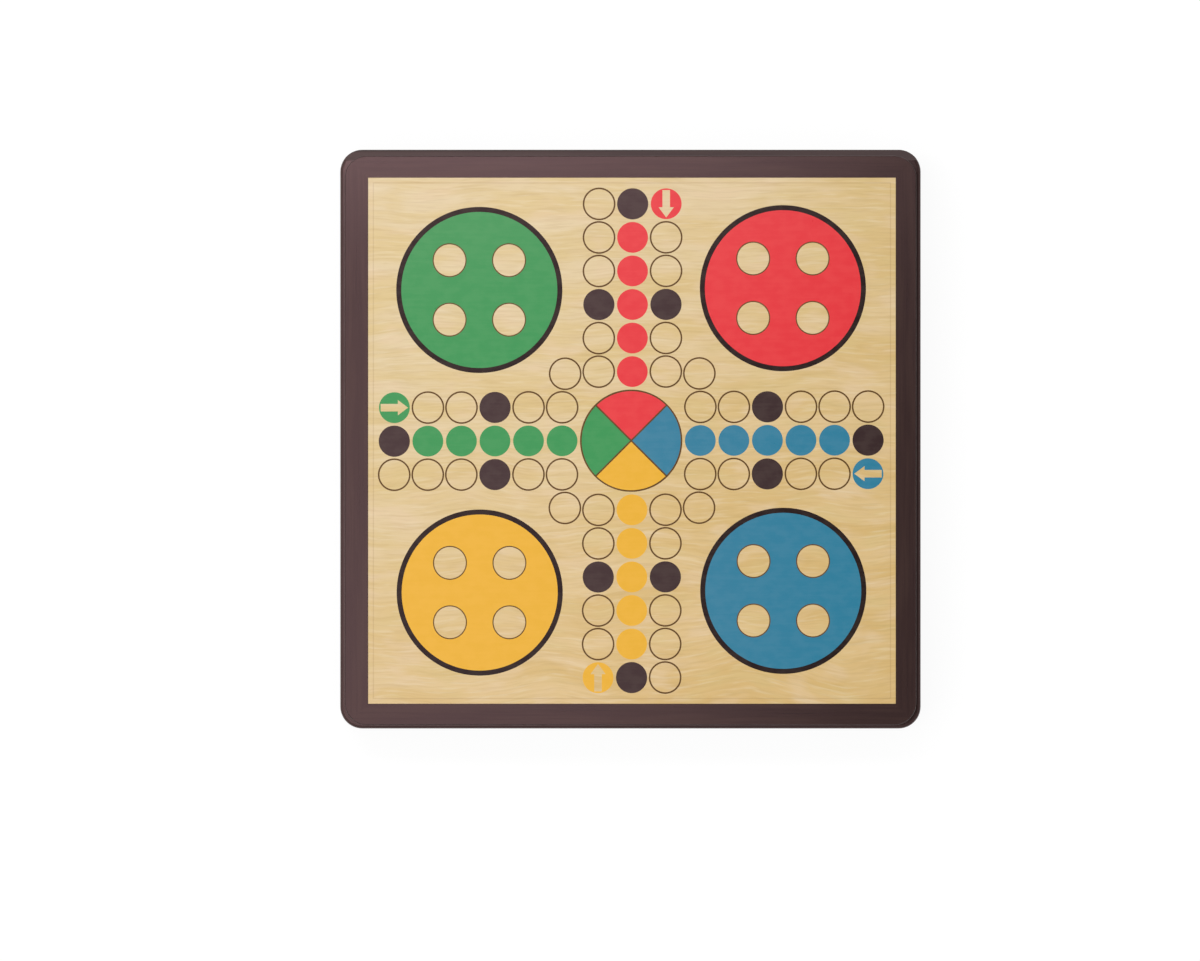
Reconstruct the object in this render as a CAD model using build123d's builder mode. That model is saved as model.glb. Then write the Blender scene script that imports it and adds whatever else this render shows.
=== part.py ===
from build123d import *
import os
from math import copysign, radians, sqrt, tan

os.makedirs("parts", exist_ok=True)

# Folding ludo board box, shut, in millimetres. The playing face is on top. The origin is the middle of
# the underside, the front edge is towards -Y and the hinged back edge towards +Y.

# ---------------------------------------------------------------- driving dimensions

# Case
body_width = 300.0  # along X
body_depth = 299.2  # along Y
base_height = 36.0
lid_height = 14.0
corner_radius = 11.4  # upright corners of base and lid
wall = 13.0
rim_gap = 0.3  # air line between the rim and the shut lid
rim_round = 1.8  # outer top edge of the base
lid_round = 0.5  # outer top edge of the lid
foot_round = 0.8  # outer bottom edge of the base
side_setback = 2.4  # ledge left by the lid at each side
front_setback = 1.9
back_setback = 3.3

# Playing face
left_rail = 12.0  # width seen from above
right_rail = 10.5
front_rail = 10.9
back_rail = 11.2
panel_ledge = 4.5  # shelf that carries the playing panel
panel_thickness = 3.7
sheet_thickness = 0.3  # printed facing on the panel
face_recess = 0.2  # facing below the top of the rails
panel_clearance = 0.1

# Floor and linings
floor_thickness = 4.0
floor_rebate = 6.0  # how far the floor reaches under the walls
fit_clearance = 0.15  # glued wood joints
felt_thickness = 1.0
felt_clearance = 0.3

# Dividers
divider_thickness = 4.0
divider_height = 26.0
divider_round = 1.2  # top edges
cell_depth = 52.0  # row of small cells along the back wall
cell_count = 5
bay_count = 3  # open bays in front of the cells

# Hinges
hinge_spacing = 190.0
hinge_length = 30.0
leaf_thickness = 1.0
barrel_radius = 2.1
axis_inset = 2.3  # hinge axis inside the lid's back face
pin_radius = 0.9
pin_clearance = 0.05
pin_end = 0.5  # pin past each end of the barrel
knuckle_gap = 0.2
barrel_clearance = 0.3
bevel_angle = 52.0  # of each back edge, from level
leaf_clearance = 0.15
screw_spacing = 18.0
screw_length = 8.0
screw_radius = 0.9
screw_head_radius = 1.7
screw_slot = 0.45
screw_clearance = 0.05
countersink_angle = 82.0

# Magnets and floor nails
magnet_radius = 3.0
magnet_height = 3.0
magnet_spacing = 200.0
magnet_clearance = 0.05
nail_radius = 0.7
nail_head_radius = 1.5
nail_head = 0.6
nail_length = 14.0
nail_spacing = 110.0
nail_clearance = 0.05

# Finger scoop under the lid's front edge
scoop_radius = 6.5
scoop_length = 60.0

# Pawns and dice
pawn_height = 25.0
pawn_base_radius = 6.5
pawn_neck_radius = 2.4
pawn_head_radius = 4.5
pawn_foot = 1.8  # straight band of the base
pawn_foot_round = 0.6
pawn_waist = 0.42  # bow of the concave body, 0 to 1
pawn_pitch = 22.0
die_size = 14.0
die_round = 1.8
die_pitch = 22.0
pip_radius = 1.25
pip_depth = 0.45
pip_pitch = 3.6

# ---------------------------------------------------------------- places that follow from them

half_width = body_width / 2
half_depth = body_depth / 2
inner_x = half_width - wall
inner_y = half_depth - wall

lid_x = half_width - side_setback
lid_front = front_setback - half_depth
lid_back = half_depth - back_setback
lid_mid_y = (lid_front + lid_back) / 2
lid_low = base_height + rim_gap
lid_top = lid_low + lid_height

field_left = left_rail - lid_x
field_right = lid_x - right_rail
field_front = lid_front + front_rail
field_back = lid_back - back_rail
field_width = field_right - field_left
field_depth = field_back - field_front
field_mid = ((field_left + field_right) / 2, (field_front + field_back) / 2)
panel_low = lid_top - face_recess - sheet_thickness - panel_thickness

axis_y = lid_back - axis_inset
axis_z = base_height + rim_gap / 2
hinge_places = {"left": -hinge_spacing / 2, "right": hinge_spacing / 2}
pocket_radius = barrel_radius + barrel_clearance
leaf_front = inner_y + leaf_clearance
leaf_back = axis_y - pocket_radius
screw_y = (leaf_front + leaf_back) / 2
screw_steps = (-screw_spacing / 2, screw_spacing / 2)
screw_places = [(x + step, screw_y) for x in hinge_places.values() for step in screw_steps]
screw_hole = (screw_radius + screw_clearance, screw_head_radius + screw_clearance)

magnet_y = (lid_front - inner_y) / 2  # middle of the front rim under the lid
magnet_places = [(-magnet_spacing / 2, magnet_y), (magnet_spacing / 2, magnet_y)]

floor_x = inner_x + floor_rebate
floor_y = inner_y + floor_rebate
nail_x = inner_x + floor_rebate / 2
nail_y = inner_y + floor_rebate / 2
nail_rows = (-nail_spacing, 0.0, nail_spacing)
nail_places = [(side * nail_x, row) for side in (-1, 1) for row in nail_rows]
nail_places += [(row, side * nail_y) for side in (-1, 1) for row in nail_rows]

felt_top = floor_thickness + felt_thickness
seat_z = felt_top + felt_clearance  # underside of pawns and dice
row_front = inner_y - cell_depth  # back face of the long divider
row_mid = inner_y - cell_depth / 2
bay_back = row_front - divider_thickness
bay_mid = (bay_back - inner_y) / 2
bay_depth = bay_back + inner_y
cell_pitch = (2 * inner_x + divider_thickness) / cell_count
bay_pitch = (2 * inner_x + divider_thickness) / bay_count


def spread(count, pitch):
    """Middles of a row of equal spaces, centred on x = 0."""
    return [(i - (count - 1) / 2) * pitch for i in range(count)]


def mitre_plan(side, left, right, front, back, reach):
    """Plan of one side of a frame, with 45 degree ends through the corners of its opening."""
    ends = {
        "front": ((left, front), (right, front)),
        "back": ((left, back), (right, back)),
        "left": ((left, front), (left, back)),
        "right": ((right, front), (right, back)),
    }
    start, end = ends[side]
    outer_start, outer_end = [(x + copysign(reach, x), y + copysign(reach, y)) for x, y in (start, end)]
    return start, end, outer_end, outer_start


def back_bevel(rise):
    """Section of the cut behind the hinge axis: rise is 1 for the lid, which it slopes up into, or -1."""
    run = 2 * (back_setback + axis_inset)
    slope_end = axis_z + rise * run * tan(radians(bevel_angle))
    return (axis_y, axis_z), (axis_y + run, slope_end), (axis_y + run, axis_z - rise * rim_gap)


def block(x, y, z, width, depth, height, round_top=0.0):
    """Upright block on level z, centred on x and y, with its long top edges rounded."""
    with BuildPart() as piece:
        with BuildSketch(Plane.XY.offset(z)):
            with Locations((x, y)):
                Rectangle(width, depth)
        extrude(amount=height)
        if round_top:
            along = Axis.X if width > depth else Axis.Y
            fillet(piece.edges().group_by(Axis.Z)[-1].filter_by(along), round_top)
    return piece


# ---------------------------------------------------------------- base

with BuildPart() as base_frame:
    with BuildSketch():
        RectangleRounded(body_width, body_depth, corner_radius)
        Rectangle(2 * inner_x, 2 * inner_y, mode=Mode.SUBTRACT)
    extrude(amount=base_height)
    fillet(base_frame.faces().sort_by(Axis.Z)[-1].outer_wire().edges(), rim_round)
    fillet(base_frame.faces().sort_by(Axis.Z)[0].outer_wire().edges(), foot_round)
    # rebate for the floor
    with BuildSketch():
        Rectangle(2 * floor_x, 2 * floor_y)
    extrude(amount=floor_thickness, mode=Mode.SUBTRACT)
    # sloping back edge, which stops the open lid
    with BuildSketch(Plane.YZ.offset(-half_width)):
        Polygon(*back_bevel(-1), align=None)
    extrude(amount=body_width, mode=Mode.SUBTRACT)
    # hinge leaves, barrels and screws
    for hinge_x in hinge_places.values():
        with BuildSketch(Plane.XY.offset(base_height - leaf_thickness)):
            with Locations((hinge_x, (inner_y + axis_y) / 2)):
                Rectangle(hinge_length + 2 * leaf_clearance, axis_y - inner_y)
        extrude(amount=leaf_thickness, mode=Mode.SUBTRACT)
        with BuildSketch(Plane.YZ.offset(hinge_x - hinge_length / 2 - 2 * pin_end)):
            with Locations((axis_y, axis_z)):
                Circle(pocket_radius)
        extrude(amount=hinge_length + 4 * pin_end, mode=Mode.SUBTRACT)
    with Locations(Plane.XY.offset(base_height)):
        with Locations(*screw_places):
            CounterSinkHole(*screw_hole, screw_length, countersink_angle)
    # magnets, and nails through the floor
    with BuildSketch(Plane.XY.offset(base_height)):
        with Locations(*magnet_places):
            Circle(magnet_radius + magnet_clearance)
    extrude(amount=-magnet_height, mode=Mode.SUBTRACT)
    with BuildSketch():
        with Locations(*nail_places):
            Circle(nail_radius + nail_clearance)
    extrude(amount=nail_length, mode=Mode.SUBTRACT)

for side in ("front", "back", "left", "right"):
    with BuildPart() as base_wall:
        add(base_frame.part)
        with BuildSketch():
            Polygon(*mitre_plan(side, -inner_x, inner_x, -inner_y, inner_y, 2 * wall), align=None)
        extrude(amount=base_height, mode=Mode.INTERSECT)
    base_wall.part.label = f"base_{side}_wall"
    export_step(base_wall.part, f"parts/base_{side}_wall.step")

with BuildPart() as floor_panel:
    with BuildSketch():
        Rectangle(2 * (floor_x - fit_clearance), 2 * (floor_y - fit_clearance))
    extrude(amount=floor_thickness)
    with BuildSketch():
        with Locations(*nail_places):
            Circle(nail_radius + nail_clearance)
    extrude(amount=floor_thickness, mode=Mode.SUBTRACT)
    with BuildSketch():
        with Locations(*nail_places):
            Circle(nail_head_radius + nail_clearance)
    extrude(amount=nail_head, mode=Mode.SUBTRACT)
floor_panel.part.label = "floor_panel"
export_step(floor_panel.part, "parts/floor_panel.step")

with BuildPart() as floor_nails:
    with BuildSketch():
        with Locations(*nail_places):
            Circle(nail_head_radius)
    extrude(amount=nail_head)
    with BuildSketch():
        with Locations(*nail_places):
            Circle(nail_radius)
    extrude(amount=nail_length - nail_clearance)
floor_nails.part.label = "floor_nails"
export_step(floor_nails.part, "parts/floor_nails.step")

# ---------------------------------------------------------------- dividers and felts

long_divider = block(
    0, row_front - divider_thickness / 2, floor_thickness,
    2 * (inner_x - fit_clearance), divider_thickness, divider_height, divider_round,
)
long_divider.part.label = "long_divider"
export_step(long_divider.part, "parts/long_divider.step")

for i, divider_x in enumerate(spread(cell_count - 1, cell_pitch), start=1):
    cell_divider = block(
        divider_x, row_mid, floor_thickness,
        divider_thickness, cell_depth - 2 * fit_clearance, divider_height, divider_round,
    )
    cell_divider.part.label = f"cell_divider_{i}"
    export_step(cell_divider.part, f"parts/cell_divider_{i}.step")

for i, divider_x in enumerate(spread(bay_count - 1, bay_pitch), start=1):
    bay_divider = block(
        divider_x, bay_mid, floor_thickness,
        divider_thickness, bay_depth - 2 * fit_clearance, divider_height, divider_round,
    )
    bay_divider.part.label = f"bay_divider_{i}"
    export_step(bay_divider.part, f"parts/bay_divider_{i}.step")

for i, felt_x in enumerate(spread(cell_count, cell_pitch), start=1):
    cell_felt = block(
        felt_x, row_mid, floor_thickness,
        cell_pitch - divider_thickness - 2 * felt_clearance, cell_depth - 2 * felt_clearance, felt_thickness,
    )
    cell_felt.part.label = f"cell_felt_{i}"
    export_step(cell_felt.part, f"parts/cell_felt_{i}.step")

for i, felt_x in enumerate(spread(bay_count, bay_pitch), start=1):
    bay_felt = block(
        felt_x, bay_mid, floor_thickness,
        bay_pitch - divider_thickness - 2 * felt_clearance, bay_depth - 2 * felt_clearance, felt_thickness,
    )
    bay_felt.part.label = f"bay_felt_{i}"
    export_step(bay_felt.part, f"parts/bay_felt_{i}.step")

# ---------------------------------------------------------------- lid

with BuildPart() as lid_frame:
    with BuildSketch(Plane.XY.offset(lid_low)):
        with Locations((0, lid_mid_y)):
            RectangleRounded(2 * lid_x, lid_back - lid_front, corner_radius)
        with Locations(field_mid):
            Rectangle(field_width - 2 * panel_ledge, field_depth - 2 * panel_ledge, mode=Mode.SUBTRACT)
    extrude(amount=lid_height)
    fillet(lid_frame.faces().sort_by(Axis.Z)[-1].outer_wire().edges(), lid_round)
    # rebate for the playing panel and its printed facing
    with BuildSketch(Plane.XY.offset(panel_low)):
        with Locations(field_mid):
            Rectangle(field_width, field_depth)
    extrude(amount=lid_top - panel_low, mode=Mode.SUBTRACT)
    # sloping back edge, which meets the base's when the lid is open
    with BuildSketch(Plane.YZ.offset(-half_width)):
        Polygon(*back_bevel(1), align=None)
    extrude(amount=body_width, mode=Mode.SUBTRACT)
    # hinge leaves, barrels and screws
    for hinge_x in hinge_places.values():
        with BuildSketch(Plane.XY.offset(lid_low)):
            with Locations((hinge_x, (inner_y + axis_y) / 2)):
                Rectangle(hinge_length + 2 * leaf_clearance, axis_y - inner_y)
        extrude(amount=leaf_thickness, mode=Mode.SUBTRACT)
        with BuildSketch(Plane.YZ.offset(hinge_x - hinge_length / 2 - 2 * pin_end)):
            with Locations((axis_y, axis_z)):
                Circle(pocket_radius)
        extrude(amount=hinge_length + 4 * pin_end, mode=Mode.SUBTRACT)
    with Locations(Plane((0, 0, lid_low), x_dir=(1, 0, 0), z_dir=(0, 0, -1))):
        with Locations(*[(x, -y) for x, y in screw_places]):
            CounterSinkHole(*screw_hole, screw_length, countersink_angle)
    # magnets
    with BuildSketch(Plane.XY.offset(lid_low)):
        with Locations(*magnet_places):
            Circle(magnet_radius + magnet_clearance)
    extrude(amount=magnet_height, mode=Mode.SUBTRACT)
    # finger scoop: a ball-ended cove along the front lower edge
    scoop_half = scoop_length / 2 - scoop_radius
    with BuildSketch(Plane.YZ.offset(-scoop_half)):
        with Locations((lid_front, lid_low)):
            Circle(scoop_radius)
    extrude(amount=2 * scoop_half, mode=Mode.SUBTRACT)
    with Locations((-scoop_half, lid_front, lid_low), (scoop_half, lid_front, lid_low)):
        Sphere(scoop_radius, mode=Mode.SUBTRACT)

for side in ("front", "back", "left", "right"):
    with BuildPart() as lid_rail:
        add(lid_frame.part)
        with BuildSketch(Plane.XY.offset(lid_low)):
            Polygon(
                *mitre_plan(
                    side,
                    field_left + panel_ledge,
                    field_right - panel_ledge,
                    field_front + panel_ledge,
                    field_back - panel_ledge,
                    2 * wall,
                ),
                align=None,
            )
        extrude(amount=lid_height, mode=Mode.INTERSECT)
    lid_rail.part.label = f"lid_{side}_rail"
    export_step(lid_rail.part, f"parts/lid_{side}_rail.step")

playing_panel = block(
    *field_mid, panel_low,
    field_width - 2 * panel_clearance, field_depth - 2 * panel_clearance, panel_thickness,
)
playing_panel.part.label = "playing_panel"
export_step(playing_panel.part, "parts/playing_panel.step")

printed_sheet = block(
    *field_mid, panel_low + panel_thickness,
    field_width - 2 * panel_clearance, field_depth - 2 * panel_clearance, sheet_thickness,
)
printed_sheet.part.label = "printed_sheet"
export_step(printed_sheet.part, "parts/printed_sheet.step")

lid_felt = block(
    *field_mid, panel_low - felt_thickness,
    field_width - 2 * (panel_ledge + felt_clearance),
    field_depth - 2 * (panel_ledge + felt_clearance), felt_thickness,
)
lid_felt.part.label = "lid_felt"
export_step(lid_felt.part, "parts/lid_felt.step")

# ---------------------------------------------------------------- magnets

for owner, magnet_low in (("base", base_height - magnet_height), ("lid", lid_low)):
    with BuildPart() as magnets:
        with BuildSketch(Plane.XY.offset(magnet_low)):
            with Locations(*magnet_places):
                Circle(magnet_radius)
        extrude(amount=magnet_height)
    magnets.part.label = f"{owner}_magnets"
    export_step(magnets.part, f"parts/{owner}_magnets.step")

# ---------------------------------------------------------------- hinges

knuckle = hinge_length / 3
outer_start = (knuckle + knuckle_gap) / 2
middle_end = (knuckle - knuckle_gap) / 2
outer_knuckles = [(-hinge_length / 2, -outer_start), (outer_start, hinge_length / 2)]
middle_knuckle = [(-middle_end, middle_end)]
head_depth = (screw_head_radius - screw_radius) / tan(radians(countersink_angle / 2))


def hinge_leaf(hinge_x, leaf_low, drilled_face, knuckles):
    """Flat leaf on level leaf_low, with its own knuckles and two countersunk holes in drilled_face."""
    with BuildPart() as leaf:
        with BuildSketch(Plane.XY.offset(leaf_low)):
            with Locations((hinge_x, (leaf_front + leaf_back) / 2)):
                Rectangle(hinge_length, leaf_back - leaf_front)
            for start, end in knuckles:
                with Locations((hinge_x + (start + end) / 2, (leaf_back + axis_y) / 2)):
                    Rectangle(end - start, axis_y - leaf_back)
        extrude(amount=leaf_thickness)
        for start, end in knuckles:
            with BuildSketch(Plane.YZ.offset(hinge_x + start)):
                with Locations((axis_y, axis_z)):
                    Circle(barrel_radius)
            extrude(amount=end - start)
        with BuildSketch(Plane.YZ.offset(hinge_x - hinge_length / 2)):
            with Locations((axis_y, axis_z)):
                Circle(pin_radius + pin_clearance)
        extrude(amount=hinge_length, mode=Mode.SUBTRACT)
        with Locations(drilled_face):
            with Locations(*[(step, 0) for step in screw_steps]):
                CounterSinkHole(*screw_hole, leaf_thickness, countersink_angle)
    return leaf


for name, hinge_x in hinge_places.items():
    base_face = Plane((hinge_x, screw_y, base_height), x_dir=(1, 0, 0), z_dir=(0, 0, 1))
    base_leaf = hinge_leaf(hinge_x, base_height - leaf_thickness, base_face, outer_knuckles)
    base_leaf.part.label = f"{name}_hinge_base_leaf"
    export_step(base_leaf.part, f"parts/{name}_hinge_base_leaf.step")

    lid_face = Plane((hinge_x, screw_y, lid_low), x_dir=(1, 0, 0), z_dir=(0, 0, -1))
    lid_leaf = hinge_leaf(hinge_x, lid_low, lid_face, middle_knuckle)
    lid_leaf.part.label = f"{name}_hinge_lid_leaf"
    export_step(lid_leaf.part, f"parts/{name}_hinge_lid_leaf.step")

    with BuildPart() as hinge_pin:
        with BuildSketch(Plane.YZ.offset(hinge_x - hinge_length / 2 - pin_end)):
            with Locations((axis_y, axis_z)):
                Circle(pin_radius)
        extrude(amount=hinge_length + 2 * pin_end)
        fillet(hinge_pin.edges(), pin_end / 2)
    hinge_pin.part.label = f"{name}_hinge_pin"
    export_step(hinge_pin.part, f"parts/{name}_hinge_pin.step")


def screws(face_z, into):
    """The four slotted countersunk screws whose heads are flush with level face_z; into is -1 for down."""
    tip = screw_length - screw_clearance
    taper = tip - 2 * screw_radius
    with BuildPart() as group:
        for x, y in screw_places:
            with BuildSketch(Plane((x, y, face_z), x_dir=(1, 0, 0), z_dir=(0, -into, 0))):
                Polygon(
                    (0, 0), (screw_head_radius, 0), (screw_radius, head_depth),
                    (screw_radius, taper), (0, tip), align=None,
                )
            revolve(axis=Axis((x, y, face_z), (0, 0, into)))
        with BuildSketch(Plane.XY.offset(face_z)):
            with Locations(*screw_places):
                Rectangle(2 * screw_head_radius, screw_slot)
        extrude(amount=into * head_depth / 2, mode=Mode.SUBTRACT)
    return group


for owner, face_z, into in (("base", base_height, -1), ("lid", lid_low, 1)):
    hinge_screws = screws(face_z, into)
    hinge_screws.part.label = f"{owner}_hinge_screws"
    export_step(hinge_screws.part, f"parts/{owner}_hinge_screws.step")

# ---------------------------------------------------------------- pawns and dice

neck_z = pawn_height - pawn_head_radius - sqrt(pawn_head_radius**2 - pawn_neck_radius**2)
head_z = pawn_height - pawn_head_radius
foot_top = (pawn_base_radius, pawn_foot)
neck = (pawn_neck_radius, neck_z)
waist = (
    pawn_neck_radius + (pawn_base_radius - pawn_neck_radius) * (1 - pawn_waist) / 2,
    pawn_foot + (neck_z - pawn_foot) * pawn_waist,
)
pawn_cells = spread(cell_count, cell_pitch)
pawn_colours = dict(zip(("green", "yellow", "dice", "red", "blue"), pawn_cells))
dice_x = pawn_colours.pop("dice")
corner_steps = [(-1, -1), (1, -1), (-1, 1), (1, 1)]

for colour, cell_x in pawn_colours.items():
    for i, (step_x, step_y) in enumerate(corner_steps, start=1):
        pawn_x = cell_x + step_x * pawn_pitch / 2
        pawn_y = row_mid + step_y * pawn_pitch / 2
        with BuildPart() as pawn:
            with BuildSketch(Plane((pawn_x, pawn_y, seat_z), x_dir=(1, 0, 0), z_dir=(0, -1, 0))):
                with BuildLine():
                    Polyline((0, pawn_height), (0, 0), (pawn_base_radius, 0), foot_top)
                    ThreePointArc(foot_top, waist, neck)
                    ThreePointArc(neck, (pawn_head_radius, head_z), (0, pawn_height))
                make_face()
            revolve(axis=Axis((pawn_x, pawn_y, seat_z), (0, 0, 1)))
            fillet(pawn.edges().group_by(Axis.Z)[0], pawn_foot_round)
        pawn.part.label = f"pawn_{colour}_{i}"
        export_step(pawn.part, f"parts/pawn_{colour}_{i}.step")

pip_spots = {
    1: [(0, 0)],
    2: [(-1, -1), (1, 1)],
    3: [(-1, -1), (0, 0), (1, 1)],
    4: [(-1, -1), (-1, 1), (1, -1), (1, 1)],
    5: [(-1, -1), (-1, 1), (0, 0), (1, -1), (1, 1)],
    6: [(-1, -1), (-1, 0), (-1, 1), (1, -1), (1, 0), (1, 1)],
}
# ball that leaves a dimple of the pip's width and depth
pip_ball = (pip_radius**2 + pip_depth**2) / (2 * pip_depth)
# the faces in this order, so that opposite values add up to 7
face_ways = [(0, 0, 1), (1, 0, 0), (0, -1, 0), (0, 1, 0), (-1, 0, 0), (0, 0, -1)]

for i, (step_x, top_value) in enumerate(((-1, 5), (1, 3)), start=1):
    die_x = dice_x + step_x * die_pitch / 2
    die_z = seat_z + die_size / 2
    values = sorted(pip_spots, key=lambda value: (value != top_value, value == 7 - top_value))
    pip_z = pip_ball - pip_depth
    with BuildPart(Plane((die_x, row_mid, die_z))) as die:
        Box(die_size, die_size, die_size)
        fillet(die.edges(), die_round)
        for way, value in zip(face_ways, values):
            with Locations(Plane(Vector(*way) * die_size / 2, z_dir=way)):
                with Locations(*[(u * pip_pitch, v * pip_pitch, pip_z) for u, v in pip_spots[value]]):
                    Sphere(pip_ball, mode=Mode.SUBTRACT)
    die.part.label = f"die_{i}"
    export_step(die.part, f"parts/die_{i}.step")
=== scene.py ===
"""Ludo board box: the print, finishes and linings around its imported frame.

Lengths are written in millimetres, and MM turns them into the frame's metres. Materials work in
millimetres too, from the box's own origin: x to the right, y towards the hinges, z up.
"""

from math import cos, pi, radians, sin, sqrt

import bmesh
import bpy
from mathutils import Matrix, Vector, noise


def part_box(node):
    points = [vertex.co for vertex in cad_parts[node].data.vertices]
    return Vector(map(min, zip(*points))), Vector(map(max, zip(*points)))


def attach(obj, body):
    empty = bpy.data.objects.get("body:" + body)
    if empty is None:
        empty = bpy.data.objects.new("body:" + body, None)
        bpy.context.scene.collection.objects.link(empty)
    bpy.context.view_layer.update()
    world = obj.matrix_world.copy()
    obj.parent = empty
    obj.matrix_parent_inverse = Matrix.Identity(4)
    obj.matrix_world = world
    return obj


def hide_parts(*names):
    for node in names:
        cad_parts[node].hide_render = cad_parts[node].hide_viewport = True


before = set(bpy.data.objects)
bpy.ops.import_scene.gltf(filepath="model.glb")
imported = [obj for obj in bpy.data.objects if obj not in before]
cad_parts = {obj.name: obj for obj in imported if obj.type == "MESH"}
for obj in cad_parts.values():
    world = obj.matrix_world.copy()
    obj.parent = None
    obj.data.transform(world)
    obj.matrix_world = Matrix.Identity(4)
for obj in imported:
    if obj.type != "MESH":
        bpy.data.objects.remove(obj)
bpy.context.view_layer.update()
scene = bpy.context.scene
noise.seed_set(1)  # without a seed, noise_vector would start from the clock
MM = 0.001
WHITE = (1.0, 1.0, 1.0, 1.0)


def srgb(red, green, blue):
    """A colour in 0 to 255 display values, as the linear colour that a material takes."""
    shares = [value / 255 for value in (red, green, blue)]
    linear = [share / 12.92 if share <= 0.04 else ((share + 0.055) / 1.055) ** 2.4 for share in shares]
    return (*linear, 1.0)


def between(share, low, high):
    """The number or value that lies share of the way from low to high."""
    return low + share * (high - low)


def middle_and_half(low, high):
    """Middle and half size of the box between two corners."""
    return (low + high) / 2, (high - low) / 2


def corners_mm(node):
    """Lowest and highest corners of a node of the frame, in millimetres."""
    return [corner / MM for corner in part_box(node)]


def put_in_scene(name, data):
    """New object of the scene, made from a mesh, curve, light or camera."""
    thing = bpy.data.objects.new(name, data)
    scene.collection.objects.link(thing)
    return thing


# ---------------------------------------------------------------- material maths


class Value:
    """A socket's number, vector or colour. Arithmetic on numbers adds Math nodes."""

    def __init__(self, tree, socket):
        self.tree = tree
        self.socket = socket

    def output(self, name):
        """Another output of the same node."""
        return Value(self.tree, self.socket.node.outputs[name])

    def math(self, operation, *terms):
        """Result of a Math node."""
        return self.tree.node("ShaderNodeMath", {"operation": operation}, dict(enumerate(terms)))

    def __add__(self, other):
        return self.math("ADD", self, other)

    def __sub__(self, other):
        return self.math("SUBTRACT", self, other)

    def __rsub__(self, other):
        return self.math("SUBTRACT", other, self)

    def __mul__(self, other):
        return self.math("MULTIPLY", self, other)

    def __truediv__(self, other):
        return self.math("DIVIDE", self, other)

    def __abs__(self):
        return self.math("ABSOLUTE", self)

    def max(self, other):
        return self.math("MAXIMUM", self, other)

    def min(self, other):
        return self.math("MINIMUM", self, other)

    __radd__ = __add__
    __rmul__ = __mul__


def socket_name(word):
    """The shader's name for a socket that is written with underscores here."""
    return word.replace("_", " ").title().replace("Ior", "IOR")


class Tree:
    """The nodes of a material or of the world."""

    def __init__(self, holder):
        holder.use_nodes = True
        self.nodes = holder.node_tree.nodes
        self.links = holder.node_tree.links

    def node(self, kind, settings=None, inputs=None, output=0):
        """Adds a node, sets its settings and then its sockets, and gives one of its outputs."""
        made = self.nodes.new(kind)
        for name, value in (settings or {}).items():
            setattr(made, name, value)
        for name, value in (inputs or {}).items():
            self.feed(made.inputs[name], value)
        return Value(self, made.outputs[output])

    def feed(self, socket, value):
        """Links a value to a socket, or writes a plain number or colour into it."""
        if isinstance(value, Value):
            self.links.new(value.socket, socket)
        else:
            socket.default_value = value

    def step(self, value, low, high):
        """Smooth step from 0 at low to 1 at high."""
        sockets = {"Value": value, "From Min": low, "From Max": high}
        return self.node("ShaderNodeMapRange", {"interpolation_type": "SMOOTHSTEP"}, sockets)


class Finish(Tree):
    """One procedural material: a shader with uniform settings, and patterns that feed it."""

    def __init__(self, name, **uniform):
        self.material = bpy.data.materials.new(name)
        super().__init__(self.material)
        self.shader = self.nodes["Principled BSDF"]
        for socket, value in uniform.items():
            self.shader.inputs[socket_name(socket)].default_value = value

    def paint(self, **sockets):
        """Feeds what changes over the surface to the shader."""
        for name, value in sockets.items():
            self.feed(self.shader.inputs[socket_name(name)], value)
        return self.material

    def place(self):
        """The point's x, y and z in millimetres."""
        sockets = {"Vector": self.node("ShaderNodeTexCoord", output="Object"), "Scale": 1 / MM}
        millimetres = self.node("ShaderNodeVectorMath", {"operation": "SCALE"}, sockets)
        x = self.node("ShaderNodeSeparateXYZ", None, {"Vector": millimetres})
        return x, x.output("Y"), x.output("Z")

    def noise(self, x, y, z, detail=2.0, roughness=0.5):
        """Soft random pattern, about 0.5 in the middle, with features about 1 unit across."""
        point = self.node("ShaderNodeCombineXYZ", None, {"X": x, "Y": y, "Z": z})
        sockets = {"Vector": point, "Scale": 1.0, "Detail": detail, "Roughness": roughness}
        return self.node("ShaderNodeTexNoise", None, sockets)

    def distance(self, x, y):
        """Length of the flat vector x, y."""
        point = self.node("ShaderNodeCombineXYZ", None, {"X": x, "Y": y})
        return self.node("ShaderNodeVectorMath", {"operation": "LENGTH"}, {"Vector": point}, output="Value")

    def mix(self, factor, first, second):
        """Colour between first and second."""
        return self.node("ShaderNodeMix", {"data_type": "RGBA"}, {0: factor, 6: first, 7: second}, output=2)

    def relief(self, height, depth):
        """Normal of a surface that rises by depth millimetres as height goes from 0 to 1."""
        sockets = {"Height": height, "Distance": depth * MM, "Strength": 1.0}
        return self.node("ShaderNodeBump", None, sockets)


def grain(finish, along, across, through, length, pitch, wave):
    """Wood grain along one axis: broad bands and fine streaks, each about 0.5 in the middle.

    length and pitch are the size of a streak, and wave is how far the grain wanders sideways.
    """
    drift = finish.noise(along / length, across / length, through / length, detail=1.0)
    bent = across + (drift - 0.5) * wave
    bands = finish.noise(along / length, bent / (5 * pitch), through / (5 * pitch), detail=2.0)
    streaks = finish.noise(along / length, bent / pitch, through / pitch, detail=4.0, roughness=0.62)
    return bands, streaks


# ---------------------------------------------------------------- finishes

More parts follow.
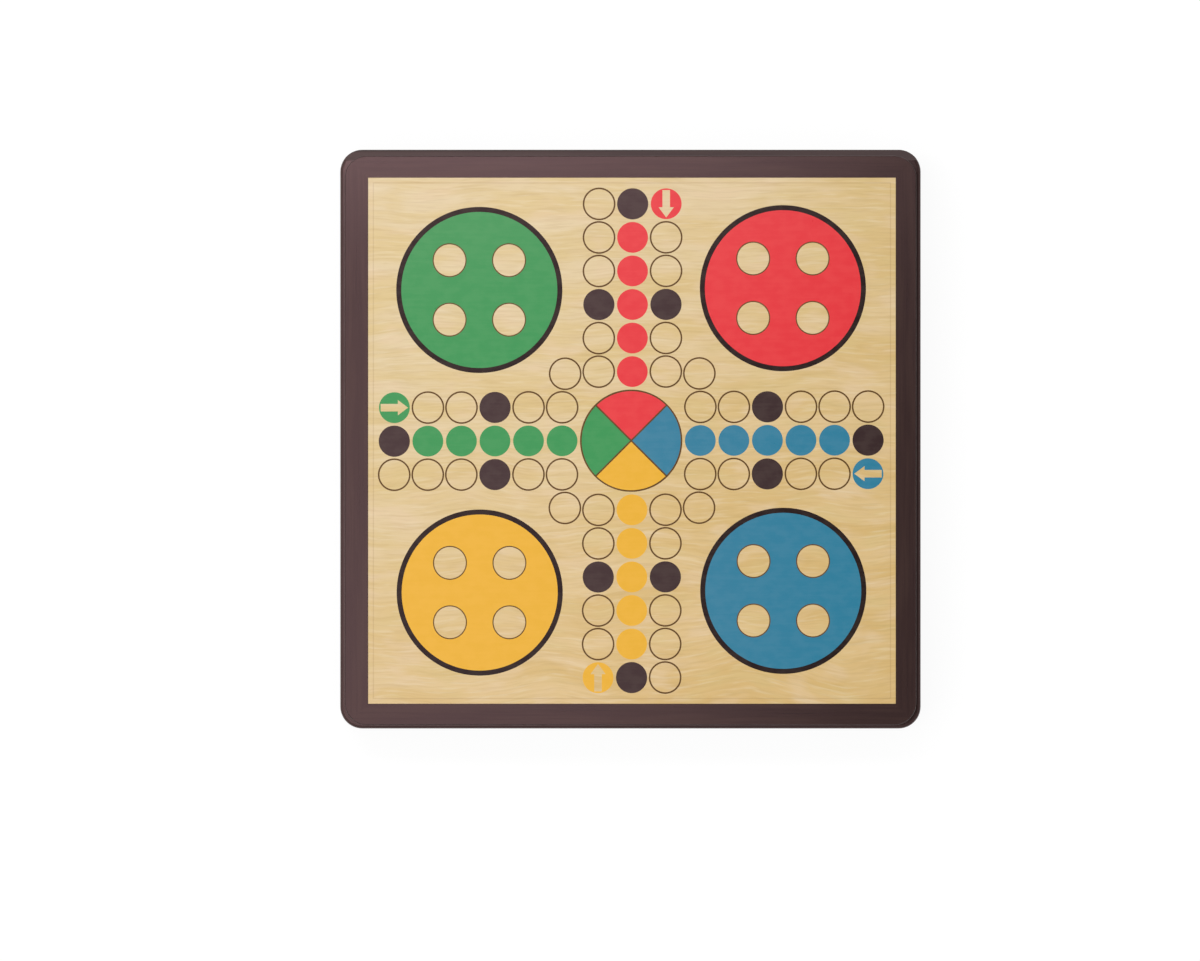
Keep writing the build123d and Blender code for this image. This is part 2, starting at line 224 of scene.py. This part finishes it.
field_low, field_high = corners_mm("printed_sheet")
field_mid, field_half = middle_and_half(field_low, field_high)
CORNER_RADIUS = 11.4  # upright corners of the base and the lid
KEYLINE_INSET = 2.7
KEYLINE_WIDTH = 0.5
PIP_MARGIN = 2.0  # least distance of a pip from a die's edges
VARNISH = 0.29  # roughness of the satin varnish over the print
VARNISH_GLOSS = 0.42
THIN_GLOSS = 0.22  # where the heavy black and brown inks soak up the varnish
VARNISH_TINT = (1.0, 0.67, 0.71, 1.0)  # slightly rosy sheen of the varnish and the lacquer
LACQUER_TINT = (1.0, 0.62, 0.66, 1.0)
FELT_BLOOM = (0.25, 0.6, 0.4, 1.0)
LID_WEAR = (0.7, 0.6, 0.08)  # width, height and strength of the wear on the lid's rim
# painted light on the base's rim: a paler band that stands in for the light the raised lid keeps off the
# ledge
BASE_PAINTED_LIGHT_WIDTH = 4.5
BASE_PAINTED_LIGHT_HEIGHT = 1.8
BEVEL_PAINTED_LIGHT_HEIGHT = 5.2  # down the bevel behind the hinges
BASE_PAINTED_LIGHT = (0.72, 0.48)  # strength at the left and at the right
BEVEL_PAINTED_LIGHT = (0.6, 0.0)
BEECH = ((214, 176, 128), (200, 158, 108), (158, 112, 68))  # light and dark growth, and lines
BIRCH = ((222, 196, 152), (206, 176, 128), (168, 130, 86))
PAWN_COLOURS = {  # fresh and worn
    "green": ((44, 132, 72), (86, 160, 108)),
    "yellow": ((228, 166, 34), (240, 194, 92)),
    "red": ((196, 34, 42), (220, 86, 84)),
    "blue": ((30, 104, 150), (80, 144, 182)),
}


def printed_wood():
    """Pale maple print under satin varnish, with a faint keyline just inside its edge."""
    wood = Finish("printed_maple", specular_ior_level=VARNISH_GLOSS, specular_tint=VARNISH_TINT)
    x, y, z = wood.place()
    toward_front = wood.step(y, 60.0, -120.0)
    drift = wood.noise(x / 70.0, y / 70.0, 2.0, detail=1.0) - 0.5
    ripple = wood.noise(x / 24.0, y / 24.0, 5.0, detail=1.0) - 0.5
    bent = y + drift * between(toward_front, 8.0, 24.0) + ripple * between(toward_front, 1.0, 4.0)
    bands = wood.noise(x / 90.0, bent / 12.0, 1.0, detail=2.0)
    growth = wood.noise(x / 34.0, bent / 2.6, 3.0, detail=2.0)
    fibres = wood.noise(x / 16.0, bent / 1.15, 7.0, detail=2.0, roughness=0.6)
    shine = wood.noise(x / 17.0, bent / 1.7, 11.0, detail=2.0)
    clouds = wood.noise(x / 26.0, bent / 11.0, 13.0, detail=2.0)
    # towards the front right the print turns darker and more yellow: partly its own tone, partly painted
    # shade away from the lamps at the left
    toward_dim_corner = wood.step(x * 0.9 - y * 1.1, -250.0, 220.0)
    light = wood.mix(toward_dim_corner, srgb(227, 208, 167), srgb(225, 194, 136))
    warm = wood.mix(toward_dim_corner, srgb(223, 200, 145), srgb(218, 184, 118))
    base = wood.mix(wood.step(bands, 0.36, 0.64), light, warm)
    base = wood.mix(wood.step(clouds, 0.5, 0.7) * 0.45, base, srgb(231, 205, 167))
    base = wood.mix((1 - wood.step(clouds, 0.3, 0.5)) * 0.45, base, srgb(219, 195, 134))
    base = wood.mix(wood.step(growth, 0.48, 0.7) * 0.17, base, srgb(190, 160, 90))
    base = wood.mix(wood.step(fibres, 0.46, 0.68) * 0.15, base, srgb(178, 146, 84))
    base = wood.mix(wood.step(shine, 0.5, 0.72) * 0.26, base, srgb(240, 224, 190))
    inset = (field_half.x - abs(x - field_mid.x)).min(field_half.y - abs(y - field_mid.y))
    keyline = 1 - wood.step(abs(inset - KEYLINE_INSET), KEYLINE_WIDTH * 0.3, KEYLINE_WIDTH * 0.8)
    base = wood.mix(keyline * 0.22, base, srgb(150, 110, 60))
    gloss = VARNISH + (clouds - 0.5) * 0.05
    return wood.paint(base_color=base, roughness=gloss, normal=wood.relief(fibres, 0.003))


def ink(name, colour, gloss):
    """Printing ink under the same varnish: faint mottling, and the wood's pores just visible."""
    finish = Finish(name, specular_ior_level=gloss, specular_tint=VARNISH_TINT)
    x, y, z = finish.place()
    mottle = finish.noise(x / 7.0, y / 5.0, z, detail=3.0)
    pores = finish.noise(x / 30.0, y / 1.4, z, detail=3.0)
    darker = finish.mix(0.025, srgb(*colour), srgb(20, 16, 14))
    paler = finish.mix(0.015, srgb(*colour), srgb(240, 226, 200))
    base = finish.mix(finish.step(mottle * 0.7 + pores * 0.3, 0.38, 0.62), darker, paler)
    return finish.paint(base_color=base, roughness=VARNISH + (mottle - 0.5) * 0.06)


def outline_box(part):
    """Lowest and highest corners of the base's four walls or of the lid's four rails, in millimetres."""
    sides = [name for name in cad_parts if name.startswith(part) and name.endswith(("_wall", "_rail"))]
    lows, highs = zip(*[corners_mm(name) for name in sides])
    low = Vector([min(values) for values in zip(*lows)])
    high = Vector([max(values) for values in zip(*highs)])
    return low, high


def edge_wear_and_painted_light(finish, x, y, z, part, width, height, pale):
    """How much paler a part's top outer edge turns, from 0 to about pale: worn by hands on the lid, painted
    light on the base.

    The paler strip is width across the top and height down the side, with soft limits.
    """
    low, high = outline_box(part)
    mid, half = middle_and_half(low, high)
    corner_x = (abs(x - mid.x) - (half.x - CORNER_RADIUS)).max(0.0)
    corner_y = (abs(y - mid.y) - (half.y - CORNER_RADIUS)).max(0.0)
    inset = CORNER_RADIUS - finish.distance(corner_x, corner_y)
    patchiness = finish.noise(x / 22.0, y / 22.0, z / 3.0, detail=3.0)
    near_top = finish.step(z, high.z - height * 1.2, high.z - height * 0.9)
    near_side = 1 - finish.step(inset, width * 0.85, width * 1.2)
    return near_top * near_side * (patchiness * 0.6 + 0.7) * pale


def base_rim_painted_light(finish, x, y):
    """Width, height and strength of the painted light on the base's rim, stronger at the left where the
    lamps are, deeper behind.
    """
    back = outline_box("base")[1].y
    behind = finish.step(y, back - 9.0, back - 3.0)
    toward_right = finish.step(x, -90.0, 60.0)
    height = between(behind, BASE_PAINTED_LIGHT_HEIGHT, BEVEL_PAINTED_LIGHT_HEIGHT)
    pale = between(behind, between(toward_right, *BASE_PAINTED_LIGHT), between(toward_right, *BEVEL_PAINTED_LIGHT))
    return BASE_PAINTED_LIGHT_WIDTH, height, pale


def lacquer(name, along, part):
    """Dark brown satin lacquer over wood whose grain runs along x or y, paler at the part's rim: rubbed on
    the lid, painted light on the base.
    """
    finish = Finish(name, specular_tint=LACQUER_TINT)
    x, y, z = finish.place()
    run, cross = (x, y) if along == "x" else (y, x)
    bands, streaks = grain(finish, run, cross, z, length=60.0, pitch=1.1, wave=3.0)
    clouds = finish.noise(x / 30.0, y / 30.0, z / 12.0, detail=2.0)
    dark = finish.mix(finish.step(bands, 0.35, 0.65), srgb(39, 26, 22), srgb(48, 34, 28))
    base = finish.mix(finish.step(streaks, 0.45, 0.7) * 0.5, dark, srgb(28, 17, 14))
    rim = base_rim_painted_light(finish, x, y) if part == "base" else LID_WEAR
    # paler rim: rubbed on the lid; on the base, painted light for the ledge that the lid shades, more at
    # the left
    base = finish.mix(edge_wear_and_painted_light(finish, x, y, z, part, *rim), base, srgb(82, 63, 60))
    peel = finish.noise(x / 1.6, y / 1.6, z / 1.6, detail=1.0)
    relief = finish.relief(peel * 0.6 + streaks * 0.4, 0.004)
    return finish.paint(base_color=base, roughness=0.25 + (clouds - 0.5) * 0.05, normal=relief)


def bare_wood(name, along, colours, length, pitch, wave, gloss):
    """Real wood with its own varnish: light and dark growth, pores and end grain from the same pattern."""
    finish = Finish(name)
    x, y, z = finish.place()
    run, cross = (x, y) if along == "x" else (y, x)
    bands, streaks = grain(finish, run, cross, z, length, pitch, wave)
    light, dark, line = [srgb(*colour) for colour in colours]
    base = finish.mix(finish.step(bands, 0.34, 0.66), light, dark)
    pores = finish.noise(run / 3.0, cross / 0.35, z / 0.35, detail=2.0)
    marks = finish.step(streaks, 0.45, 0.72) * 0.5 + finish.step(pores, 0.6, 0.75) * 0.3
    base = finish.mix(marks, base, line)
    roughness = gloss + (bands - 0.5) * 0.12
    return finish.paint(base_color=base, roughness=roughness, normal=finish.relief(streaks + pores, 0.02))


def fibre_board():
    """Raw hardboard: fine pressed fibres."""
    finish = Finish("fibre_board")
    x, y, z = finish.place()
    fibres = finish.noise(x / 0.8, y / 0.8, z / 0.5, detail=4.0, roughness=0.7)
    base = finish.mix(finish.step(fibres, 0.35, 0.65), srgb(140, 104, 70), srgb(172, 134, 94))
    return finish.paint(base_color=base, roughness=0.75 + fibres * 0.15, normal=finish.relief(fibres, 0.05))


def felt_cloth():
    """Dark green pressed felt: matted fibres, thin and thick patches, and a green bloom at low angles."""
    finish = Finish("felt_cloth", sheen_weight=0.2, sheen_roughness=0.6, sheen_tint=FELT_BLOOM,
                    specular_ior_level=0.08)
    x, y, z = finish.place()
    hairs = finish.noise(x / 0.35, y / 0.35, z / 0.35, detail=4.0, roughness=0.75)
    curls = finish.noise(x / 1.3 + hairs * 1.5, y / 1.3, z / 1.3, detail=3.0, roughness=0.65)
    patches = finish.noise(x / 14.0, y / 14.0, z / 14.0, detail=2.0)
    base = finish.mix(finish.step(curls, 0.3, 0.7), srgb(20, 58, 42), srgb(40, 88, 66))
    base = finish.mix(finish.step(patches, 0.3, 0.8) * 0.35, base, srgb(24, 64, 48))
    relief = finish.relief(curls * 0.6 + hairs * 0.4, 0.25)
    return finish.paint(base_color=base, roughness=0.9 + hairs * 0.1, normal=relief)


def metal(name, colour, stain, gloss, brush):
    """Plated or bare metal: drawn lines along x, brush millimetres apart, and faint handling stains."""
    finish = Finish(name, metallic=1.0)
    x, y, z = finish.place()
    lines = finish.noise(x / 6.0, y / brush, z / brush, detail=3.0, roughness=0.6)
    haze = finish.noise(x / 5.0, y / 5.0, z / 5.0, detail=3.0)
    base = finish.mix(finish.step(haze, 0.4, 0.75) * 0.6, srgb(*colour), srgb(*stain))
    roughness = gloss + (haze - 0.5) * 0.15 + (lines - 0.5) * 0.1
    return finish.paint(base_color=base, roughness=roughness, normal=finish.relief(lines, 0.004))


def pawn_paint(name, colour, pale):
    """Gloss paint over a turned wooden pawn: faint lathe rings, and paler where fingers and felt rub it."""
    finish = Finish(name, coat_weight=0.5, coat_roughness=0.08)
    x, y, z = finish.place()
    bottom = corners_mm("pawn_green_1")[0].z
    rings = finish.noise(x / 40.0, y / 40.0, z / 0.45, detail=2.0)
    smears = finish.noise(x / 3.0, y / 3.0, z / 4.0, detail=3.0)
    foot = (1 - finish.step(z, bottom + 0.2, bottom + 1.4)) * finish.step(smears, 0.45, 0.6)
    base = finish.mix(finish.step(smears, 0.35, 0.75) * 0.35, srgb(*colour), srgb(*pale))
    base = finish.mix(foot * 0.5, base, srgb(*pale))
    relief = finish.relief(rings * 0.7 + smears * 0.3, 0.03)
    return finish.paint(base_color=base, roughness=0.28 + (smears - 0.5) * 0.15, normal=relief)


def die_resin(node):
    """Ivory resin die with its pips filled in near-black: a pip is a dimple well inside a face."""
    mid, half_size = middle_and_half(*corners_mm(node))
    half = half_size.x
    finish = Finish(f"{node}_resin", coat_weight=0.3, coat_roughness=0.1)
    x, y, z = finish.place()
    out = [abs(x - mid.x), abs(y - mid.y), abs(z - mid.z)]
    far = out[0].max(out[1]).max(out[2])
    near = out[0].min(out[1]).min(out[2])
    middle = out[0] + out[1] + out[2] - far - near
    below_face = 1 - finish.step(far, half - 0.05, half - 0.02)
    inside_margin = 1 - finish.step(middle, half - PIP_MARGIN, half - PIP_MARGIN + 0.1)
    pip = below_face * inside_margin
    swirl = finish.noise(x / 5.0, y / 5.0, z / 5.0, detail=3.0)
    ivory = finish.mix(finish.step(swirl, 0.35, 0.7), srgb(238, 230, 208), srgb(228, 216, 188))
    base = finish.mix(pip, ivory, srgb(26, 24, 26))
    return finish.paint(base_color=base, roughness=0.3 + (swirl - 0.5) * 0.1 + pip * 0.15)


def frame_finishes():
    """Finish of every node of the frame, by the node's name."""
    divider_x = bare_wood("divider_beech_x", "x", BEECH, length=26.0, pitch=0.9, wave=2.5, gloss=0.42)
    divider_y = bare_wood("divider_beech_y", "y", BEECH, length=26.0, pitch=0.9, wave=2.5, gloss=0.42)
    plywood = bare_wood("floor_birch_ply", "x", BIRCH, length=130.0, pitch=2.2, wave=16.0, gloss=0.6)
    brass = metal("hinge_brass", (212, 172, 92), (150, 112, 58), gloss=0.28, brush=0.12)
    screw_brass = metal("screw_brass", (196, 166, 112), (128, 102, 66), gloss=0.34, brush=0.25)
    nickel = metal("magnet_nickel", (188, 186, 182), (150, 148, 146), gloss=0.24, brush=0.3)
    steel = metal("nail_steel", (150, 152, 156), (96, 92, 90), gloss=0.4, brush=0.2)
    finishes = {
        "floor_panel": plywood,
        "floor_nails": steel,
        "long_divider": divider_x,
        "base_magnets": nickel,
        "lid_magnets": nickel,
        "playing_panel": fibre_board(),
        "printed_sheet": printed_wood(),
        "die_1": die_resin("die_1"),
        "die_2": die_resin("die_2"),
    }
    for along, sides in (("x", ("front", "back")), ("y", ("left", "right"))):
        for side in sides:
            finishes[f"base_{side}_wall"] = lacquer(f"base_lacquer_{side}", along, "base")
            finishes[f"lid_{side}_rail"] = lacquer(f"lid_lacquer_{side}", along, "lid")
    for colour, (fresh, pale) in PAWN_COLOURS.items():
        paint = pawn_paint(f"pawn_{colour}_paint", fresh, pale)
        for count in range(1, 5):
            finishes[f"pawn_{colour}_{count}"] = paint
    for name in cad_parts:
        if "hinge" in name:
            finishes[name] = screw_brass if name.endswith("screws") else brass
        elif name.startswith(("cell_divider", "bay_divider")):
            finishes[name] = divider_y
        elif "felt" in name:
            finishes[name] = felt
    return finishes


felt = felt_cloth()
finish_of = frame_finishes()
for name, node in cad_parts.items():
    node.data.materials.clear()
    node.data.materials.append(finish_of[name])

# ---------------------------------------------------------------- print

PRINT_MID = Vector((0.61, -0.88))
LEAN = 0.0023  # the print isn't quite square: its upright lines lean to the right, its level lines rise
PITCH = 17.33  # from circle to circle
FIRST = 35.7  # from the middle of the board to the nearest circles
LANE = 6  # circles in a lane
SAFE = 2  # which of them has a dark circle at each side, counted from 0
OUTLINED = 8.44  # outer radius of an outlined circle
FILLED = 7.95  # radius of a filled circle
DARK_FILLED = 8.05
LINE = 0.82  # width of the brown lines
CENTRE = 26.4  # outer radius of the middle circle
CORNER = 2 * PITCH  # place of the four circles that join the arms, along x and y
HOME = 42.9  # outer radius of a home's dark ring
HOME_FILL = 40.3
SPOT_PLACE = 15.35  # of the four pawn spots in a home, along x and y
SPOT = 8.77
SPOT_LINE = 0.574
ARROW_LENGTH = 14.2
ARROW_HEAD = 5.3
ARROW_HEAD_WIDTH = 7.9
ARROW_SHAFT = 3.9
INK_LOW = field_high.z - 0.01  # the ink reaches from just inside the sheet to just above it
INK_HIGH = field_high.z + 0.025
SAME_POINT = 0.0001  # points nearer than this are one
ARMS = {"red": 0, "green": 90, "yellow": 180, "blue": 270}  # turn of each arm from the back, in degrees
ACROSS = Vector((-0.25, 0.05))  # place of the left and right arms and the middle circle
UPRIGHT = Vector((0.23, 0.03))  # place of the front and back arms and the joining circles
HOMES = {"red": (78.1, 78.8), "green": (-78.7, 77.9), "yellow": (-78.5, -78.4), "blue": (78.3, -77.5)}
INK_COLOURS = {
    "brown": (94, 65, 22),
    "dark": (36, 21, 19),
    "black": (22, 12, 10),
    "red": (234, 45, 52),
    "green": (26, 150, 78),
    "yellow": (239, 180, 38),
    "blue": (20, 127, 158),
}


def circle(middle, radius, points=80):
    """Outline of a circle."""
    turns = [2 * pi * i / points for i in range(points)]
    return [middle + radius * Vector((cos(turn), sin(turn))) for turn in turns]


def ring(middle, radius, width, points=80):
    """Outer and inner outline of a ring."""
    return [circle(middle, radius, points), circle(middle, radius - width, points)]


def turned(point, degrees, shift):
    """A point of the arm that reaches to the back, turned about the middle and leant with the print."""
    place = Matrix.Rotation(radians(degrees), 2) @ Vector(point)
    return PRINT_MID + shift + place + LEAN * place.yx


def quarter(degrees, steps=40):
    """One coloured quarter of the middle circle, inside the lines that part them."""
    radius = CENTRE - LINE
    gap = LINE / sqrt(2)
    start = 0.25 * pi + LINE / 2 / radius
    sweep = pi - 2 * start
    turns = [start + sweep * i / steps for i in range(steps + 1)]
    arc = [(radius * cos(turn), radius * sin(turn)) for turn in turns]
    return [turned(point, degrees, ACROSS) for point in [(0, gap), *arc]]


def arrow(middle, degrees):
    """Arrow that points along the arm to the board's middle."""
    tip, tail = -ARROW_LENGTH / 2, ARROW_LENGTH / 2
    neck = tip + ARROW_HEAD
    half = [(ARROW_HEAD_WIDTH / 2, neck), (ARROW_SHAFT / 2, neck), (ARROW_SHAFT / 2, tail)]
    outline = [(0, tip), *half, *[(-x, y) for x, y in reversed(half)]]
    return [middle + Matrix.Rotation(radians(degrees), 2) @ Vector(point) for point in outline]


def ink_mesh(name, loops):
    """Closed thin solids, filled between their outlines."""
    outline = bpy.data.curves.new(name, "CURVE")
    outline.dimensions = "2D"
    outline.fill_mode = "BOTH"
    outline.extrude = (INK_HIGH - INK_LOW) / 2
    for loop in loops:
        spline = outline.splines.new("POLY")
        spline.points.add(len(loop) - 1)
        for point, place in zip(spline.points, loop):
            point.co = (*place, 0, 1)
        spline.use_cyclic_u = True
    holder = put_in_scene(name, outline)
    mesh = bpy.data.meshes.new_from_object(holder.evaluated_get(bpy.context.evaluated_depsgraph_get()))
    bpy.data.objects.remove(holder)
    shape = bmesh.new()
    shape.from_mesh(mesh)
    bmesh.ops.remove_doubles(shape, verts=shape.verts, dist=SAME_POINT)
    bmesh.ops.recalc_face_normals(shape, faces=shape.faces)
    shape.transform(Matrix.Scale(MM, 4) @ Matrix.Translation((0, 0, (INK_LOW + INK_HIGH) / 2)))
    shape.to_mesh(mesh)
    shape.free()
    mesh.materials.clear()
    return mesh


def print_ink(name, loops, finish):
    """Ink of one colour, on the lid's printed sheet."""
    mesh = ink_mesh(name, loops)
    mesh.materials.append(finish)
    piece = put_in_scene(name, mesh)
    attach(piece, "lid")


def lay_out_arm(loops, colour, turn):
    """Adds one arm, its quarter of the middle circle and the joining circle beside it."""
    shift = UPRIGHT if turn % 180 == 0 else ACROSS
    loops["brown"].append(quarter(turn))
    loops[colour].append(quarter(turn))
    for count in range(LANE):
        reach = FIRST + count * PITCH
        last = count == LANE - 1
        middle = turned((0, reach), turn, shift)
        if last:
            loops["dark"].append(circle(middle, DARK_FILLED))
        else:
            loops[colour].append(circle(middle, FILLED))
        for side in (-1, 1):
            middle = turned((side * PITCH, reach), turn, shift)
            if last and side == 1:
                loops[colour] += [circle(middle, FILLED), arrow(middle, turn)]
            elif count == SAFE:
                loops["dark"].append(circle(middle, DARK_FILLED))
            else:
                loops["brown"] += ring(middle, OUTLINED, LINE)
    loops["brown"] += ring(turned((CORNER, CORNER), turn, UPRIGHT), OUTLINED, LINE)


def lay_out_home(loops, colour):
    """Adds one home with its dark ring and its four spots."""
    home = PRINT_MID + Vector(HOMES[colour])
    loops["black"] += ring(home, HOME, HOME - HOME_FILL, points=200)
    loops[colour].append(circle(home, HOME_FILL, points=200))
    for x in (-SPOT_PLACE, SPOT_PLACE):
        for y in (-SPOT_PLACE, SPOT_PLACE):
            spot = home + Vector((x, y))
            loops[colour].append(circle(spot, SPOT))
            loops["brown"] += ring(spot, SPOT, SPOT_LINE)


def lay_out_print():
    """Outlines of every ink, from one arm turned four times about the board's middle."""
    loops = {ink_name: [] for ink_name in INK_COLOURS}
    loops["brown"].append(circle(PRINT_MID + ACROSS, CENTRE, points=160))
    for colour, turn in ARMS.items():
        lay_out_arm(loops, colour, turn)
        lay_out_home(loops, colour)
    return loops


for colour, loops in lay_out_print().items():
    gloss = THIN_GLOSS if colour in ("black", "brown") else VARNISH_GLOSS
    print_ink(f"ink_{colour}", loops, ink(f"ink_{colour}", INK_COLOURS[colour], gloss))

# ---------------------------------------------------------------- felt linings

FELT_CELL = 3.0  # spacing of the points on a felt's face
FELT_ROUND = 0.3  # how far its soft cut edge pulls the face in
FELT_SIDE = ((0, 0.55), (0.08, 0.85))  # inset, and share of the thickness, on the way up the cut edge
FELT_WANDER = 0.12  # how far the cut edge and the face are uneven
SWAY_SIZE = 9  # size of the unevenness along the face, at the cut edge and in the thickness
EDGE_SIZE = 6
DIP_SIZE = 4


def uneven(x, y, layer, size):
    """Smooth number from 0 to 1 at a place on the felt, different for each layer."""
    return (1 + noise.noise(Vector((x, y, layer)) / size)) / 2


def felt_point(low, high, u, v, inset, rise):
    """Point of a felt: u and v go from -1 to 1 over it, and rise from 0 at its back to 1 at its face."""
    mid, half = middle_and_half(low, high)
    x, y = mid.x + u * (half.x - inset), mid.y + v * (half.y - inset)
    sway = noise.noise_vector(Vector((x, y, 0)) / SWAY_SIZE) * FELT_WANDER / 2
    across = x - FELT_WANDER * uneven(x, y, layer=5, size=EDGE_SIZE) * u + sway.x * (1 - abs(u))
    along = y - FELT_WANDER * uneven(x, y, layer=9, size=EDGE_SIZE) * v + sway.y * (1 - abs(v))
    dip = FELT_WANDER * uneven(x, y, layer=3, size=DIP_SIZE) if rise == 1 else 0
    return across, along, rise * (high.z - low.z) - dip


def felt_shell(low, high, top_is_up):
    """Closed pad of felt: a grid for its face, one for its back, and a side that rounds into the face."""
    columns, rows = [max(2, round((high[axis] - low[axis]) / FELT_CELL)) for axis in (0, 1)]
    shape = bmesh.new()

    def vertex(i, j, inset, rise):
        x, y, level = felt_point(low, high, 2 * i / columns - 1, 2 * j / rows - 1, inset, rise)
        return shape.verts.new(Vector((x, y, low.z + level if top_is_up else high.z - level)) * MM)

    def grid_of_points(inset, rise):
        return [[vertex(i, j, inset, rise) for j in range(rows + 1)] for i in range(columns + 1)]

    face = grid_of_points(FELT_ROUND, 1)
    back = grid_of_points(0, 0)
    for grid, flip in ((face, 1), (back, -1)):
        for i in range(columns):
            for j in range(rows):
                corners = [grid[i][j], grid[i + 1][j], grid[i + 1][j + 1], grid[i][j + 1]]
                shape.faces.new(corners[::flip])
    rim = [(i, 0) for i in range(columns)] + [(columns, j) for j in range(rows)]
    rim += [(columns - i, rows) for i in range(columns)] + [(0, rows - j) for j in range(rows)]
    levels = [[back[i][j] for i, j in rim]]
    levels += [[vertex(i, j, *step) for i, j in rim] for step in FELT_SIDE]
    levels += [[face[i][j] for i, j in rim]]
    for below, above in zip(levels, levels[1:]):
        for k in range(len(rim)):
            after = (k + 1) % len(rim)
            shape.faces.new([below[k], below[after], above[after], above[k]])
    bmesh.ops.recalc_face_normals(shape, faces=shape.faces)
    return shape


def felt_lining(node, top_is_up):
    """Felt pad in the place of its plain solid: a cut edge that wanders, and a slightly uneven face."""
    low, high = corners_mm(node)
    shape = felt_shell(low, high, top_is_up)
    mesh = bpy.data.meshes.new(f"{node}_cloth")
    shape.to_mesh(mesh)
    shape.free()
    mesh.shade_smooth()
    mesh.materials.append(felt)
    piece = put_in_scene(f"{node}_cloth", mesh)
    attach(piece, "base" if top_is_up else "lid")
    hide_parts(node)


for name in sorted(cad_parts):
    if name == "lid_felt":
        felt_lining(name, top_is_up=False)
    elif "_felt_" in name:
        felt_lining(name, top_is_up=True)

# ---------------------------------------------------------------- floor, light and camera

AIM = Vector((-15.75, -21.4, 50.3))  # what the camera looks straight down at
VIEW_WIDTH = 619.8  # width of the picture, at the level of the playing face
CAMERA_DISTANCE = 20000.0
SENSOR = 36.0
FLOOR_RADIUS = 60000.0
PAPER = (0.75, 0.75, 0.75, 1.0)  # the floor's white, as it lights the box
PAPER_SHADE = (0.12, 0.12, 0.12, 1.0)  # the part of what is seen of it that takes shadow
PAPER_GLOW = 0.92  # the part that doesn't
LAMP_AIM = Vector((0, 0, 50))
RING = 0.7  # strength of the world's ring of light
DIM_WALLS = 0.25
DIM_CEILING = 0.07  # share of the strength below it
FAR_SIDE = 0.95  # share of the strength away from the window and toward it
WINDOW_SIDE = 1.45
HORIZON = (0.02, 0.06)  # soft edges: how high a direction points, from 0 at the level to 1 straight up
RING_FOOT = (0.35, 0.6)
CEILING_EDGE = (0.86, 0.97)
WINDOW_EDGE = (-0.1, 0.7)  # how far a direction points to the back left

scene.view_settings.view_transform = "Standard"


def make_camera():
    """Camera straight above, far off with a long lens, so that upright faces show no perspective."""
    lens = bpy.data.cameras.new("camera")
    lens.sensor_width = SENSOR
    lens.lens = SENSOR * CAMERA_DISTANCE / VIEW_WIDTH
    lens.clip_end = 2 * CAMERA_DISTANCE * MM
    scene.camera = put_in_scene("camera", lens)
    scene.camera.location = (AIM + Vector((0, 0, CAMERA_DISTANCE))) * MM


def make_floor():
    """Matt white floor. Seen directly or mirrored, it mostly glows white, and the rest takes shadow."""
    bpy.ops.mesh.primitive_circle_add(vertices=64, radius=FLOOR_RADIUS * MM, fill_type="NGON")
    floor = bpy.context.object
    floor.name = "floor"
    finish = Finish("floor_paper")
    path = finish.node("ShaderNodeLightPath", output="Is Camera Ray")
    seen = path.max(path.output("Is Glossy Ray")).max(path.output("Is Transmission Ray"))
    lit = finish.node("ShaderNodeBsdfDiffuse", None, {"Color": PAPER})
    shaded = finish.node("ShaderNodeBsdfDiffuse", None, {"Color": PAPER_SHADE})
    glow = finish.node("ShaderNodeEmission", None, {"Color": WHITE, "Strength": PAPER_GLOW})
    shown = finish.node("ShaderNodeAddShader", None, {0: shaded, 1: glow})
    paper = finish.node("ShaderNodeMixShader", None, {0: seen, 1: lit, 2: shown})
    finish.feed(finish.nodes["Material Output"].inputs["Surface"], paper)
    finish.nodes.remove(finish.shader)
    floor.data.materials.append(finish.material)


def make_lamp(name, place, size, power):
    """Rectangular lamp, its first side along x, that faces the middle of the lid."""
    light = bpy.data.lights.new(name, "AREA")
    light.shape = "RECTANGLE"
    light.size, light.size_y = Vector(size) * MM
    light.energy = power
    lamp = put_in_scene(name, light)
    lamp.location = Vector(place) * MM
    back = (Vector(place) - LAMP_AIM).normalized()
    side = Vector((0, 1, 0)).cross(back).normalized()
    lamp.rotation_euler = Matrix((side, back.cross(side), back)).transposed().to_euler()


def make_world():
    """Pale studio: a high ring of soft light, brighter behind and at the left, under a dim ceiling.

    The walls below the ring are dim, and the ground is white out to the horizon and just over it.
    """
    scene.world = bpy.data.worlds.new("studio")
    studio = Tree(scene.world)
    direction = studio.node("ShaderNodeTexCoord", output="Generated")
    x = studio.node("ShaderNodeSeparateXYZ", None, {"Vector": direction})
    y, z = x.output("Y"), x.output("Z")
    walls = between(studio.step(z, *RING_FOOT), DIM_WALLS, RING)
    ceiling = between(studio.step(z, *CEILING_EDGE), 1, DIM_CEILING)
    window = between(studio.step(y - x, *WINDOW_EDGE), FAR_SIDE, WINDOW_SIDE)
    ground = 1 - studio.step(z, *HORIZON)
    background = studio.nodes["Background"].inputs
    studio.feed(background["Color"], WHITE)
    studio.feed(background["Strength"], (walls * ceiling * window).max(ground))


make_camera()
make_floor()
make_world()
make_lamp("window", place=(-185, 250, 1050), size=(600, 130), power=2.75)
make_lamp("softbox", place=(-205, -230, 1050), size=(550, 560), power=2.25)
